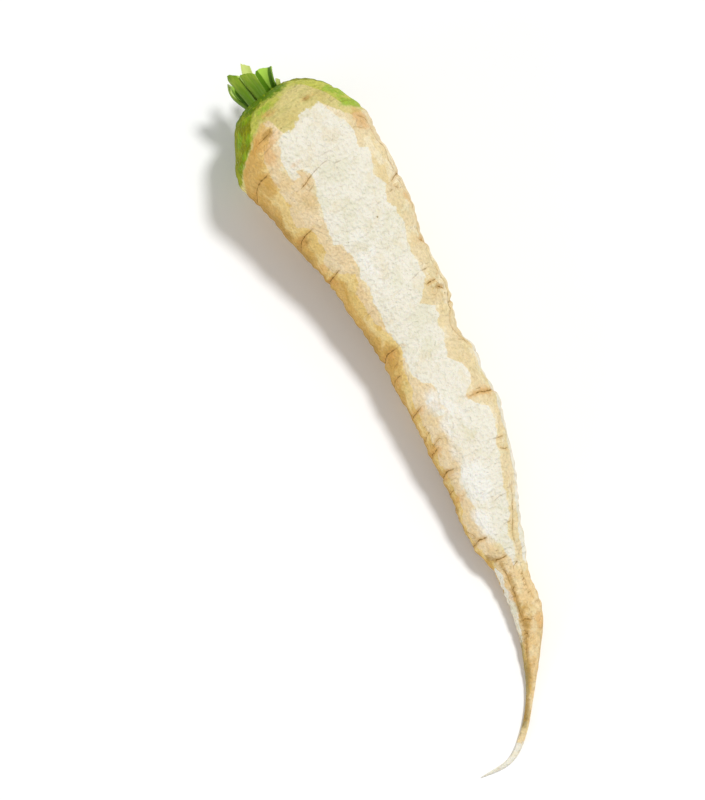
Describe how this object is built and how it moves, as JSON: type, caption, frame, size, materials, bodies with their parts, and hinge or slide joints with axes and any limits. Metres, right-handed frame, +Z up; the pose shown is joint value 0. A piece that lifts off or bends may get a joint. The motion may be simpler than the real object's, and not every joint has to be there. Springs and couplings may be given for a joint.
{
  "type": "white carrot",
  "caption": "Whole white carrot with a long bent taper, a thin curled tail and cut-back leaf stalks, lying on its side; a root vegetable to lay on a table or board.",
  "frame": {"origin": "under the middle of the carrot's box, on the surface that the carrot lies on", "axes": "+X from the leaf stalks to the tail, +Z up from the surface, +Y to the left of someone who looks from the crown down the root"},
  "size_m": [0.2196, 0.0504, 0.0412],
  "materials": {
    "root_skin": "satin",
    "leaf_stalk": "satin"
  },
  "bodies": {
    "root": {"taproot": "root_skin", "leaf_stalk_1": "leaf_stalk", "leaf_stalk_2": "leaf_stalk", "leaf_stalk_3": "leaf_stalk", "leaf_stalk_4": "leaf_stalk", "leaf_stalk_5": "leaf_stalk", "leaf_stalk_6": "leaf_stalk", "leaf_stalk_7": "leaf_stalk", "leaf_stalk_8": "leaf_stalk"}
  },
  "joints": []
}
